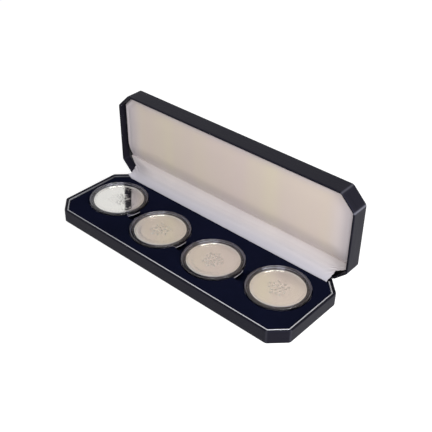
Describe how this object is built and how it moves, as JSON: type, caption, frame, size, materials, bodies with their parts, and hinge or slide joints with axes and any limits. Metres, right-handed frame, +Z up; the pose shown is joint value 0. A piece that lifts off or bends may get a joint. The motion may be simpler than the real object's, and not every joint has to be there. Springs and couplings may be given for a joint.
{
  "type": "coin set case",
  "caption": "Hinged presentation case with cut corners, a satin-padded lid and a velvet tray that holds large coins in clear round capsules.",
  "frame": {"origin": "middle of the underside, on the surface that the case stands on", "axes": "+X along the case, +Y towards the hinge, +Z up"},
  "size_m": [0.2164, 0.0848, 0.0813],
  "materials": {
    "leatherette": "fine grain, satin",
    "shell_plastic": "moulded",
    "grey_board": "uncoated",
    "bright_trim": "bright anodised",
    "velvet": "flocked",
    "satin": "satin weave",
    "hinge_steel": "nickel plated",
    "clear_plastic": "clear, polished",
    "coin_metal": "struck, proof"
  },
  "bodies": {
    "base": {"base_shell": "shell_plastic", "base_covering": "leatherette", "base_bottom_sheet": "leatherette", "base_card": "grey_board", "rim_trim": "bright_trim", "coin_insert": "velvet", "hinge_base_leaf_left": "hinge_steel", "hinge_base_leaf_right": "hinge_steel", "hinge_base_rivets": "hinge_steel", "hinge_pin_left": "hinge_steel", "hinge_pin_right": "hinge_steel", "hinge_spring_left": "hinge_steel", "hinge_spring_right": "hinge_steel", "hinge_cloth": "satin"},
    "lid": {"lid_shell": "shell_plastic", "lid_covering": "leatherette", "lid_card": "grey_board", "lid_pad": "satin", "hinge_lid_leaf_left": "hinge_steel", "hinge_lid_leaf_right": "hinge_steel", "hinge_lid_rivets": "hinge_steel"},
    "capsule_1": {"capsule_bottom_1": "clear_plastic", "coin_1": "coin_metal"},
    "capsule_cover_1": {"capsule_top_1": "clear_plastic"},
    "capsule_2": {"capsule_bottom_2": "clear_plastic", "coin_2": "coin_metal"},
    "capsule_cover_2": {"capsule_top_2": "clear_plastic"},
    "capsule_3": {"capsule_bottom_3": "clear_plastic", "coin_3": "coin_metal"},
    "capsule_cover_3": {"capsule_top_3": "clear_plastic"},
    "capsule_4": {"capsule_bottom_4": "clear_plastic", "coin_4": "coin_metal"},
    "capsule_cover_4": {"capsule_top_4": "clear_plastic"}
  },
  "joints": [
    {"name": "lid_hinge", "type": "hinge", "parent": "base", "child": "lid", "pos_m": [0, 0.03455, 0.0107], "axis": [-1, 0, 0], "range_deg": [-88.5, 0], "deforming": ["hinge_cloth"]},
    {"name": "capsule_1_lift", "type": "slide", "parent": "base", "child": "capsule_1", "axis": [0, 0, 1], "range_m": [0, 0.03]},
    {"name": "capsule_cover_1_lift", "type": "slide", "parent": "capsule_1", "child": "capsule_cover_1", "axis": [0, 0, 1], "range_m": [0, 0.03]},
    {"name": "capsule_2_lift", "type": "slide", "parent": "base", "child": "capsule_2", "axis": [0, 0, 1], "range_m": [0, 0.03]},
    {"name": "capsule_cover_2_lift", "type": "slide", "parent": "capsule_2", "child": "capsule_cover_2", "axis": [0, 0, 1], "range_m": [0, 0.03]},
    {"name": "capsule_3_lift", "type": "slide", "parent": "base", "child": "capsule_3", "axis": [0, 0, 1], "range_m": [0, 0.03]},
    {"name": "capsule_cover_3_lift", "type": "slide", "parent": "capsule_3", "child": "capsule_cover_3", "axis": [0, 0, 1], "range_m": [0, 0.03]},
    {"name": "capsule_4_lift", "type": "slide", "parent": "base", "child": "capsule_4", "axis": [0, 0, 1], "range_m": [0, 0.03]},
    {"name": "capsule_cover_4_lift", "type": "slide", "parent": "capsule_4", "child": "capsule_cover_4", "axis": [0, 0, 1], "range_m": [0, 0.03]}
  ]
}
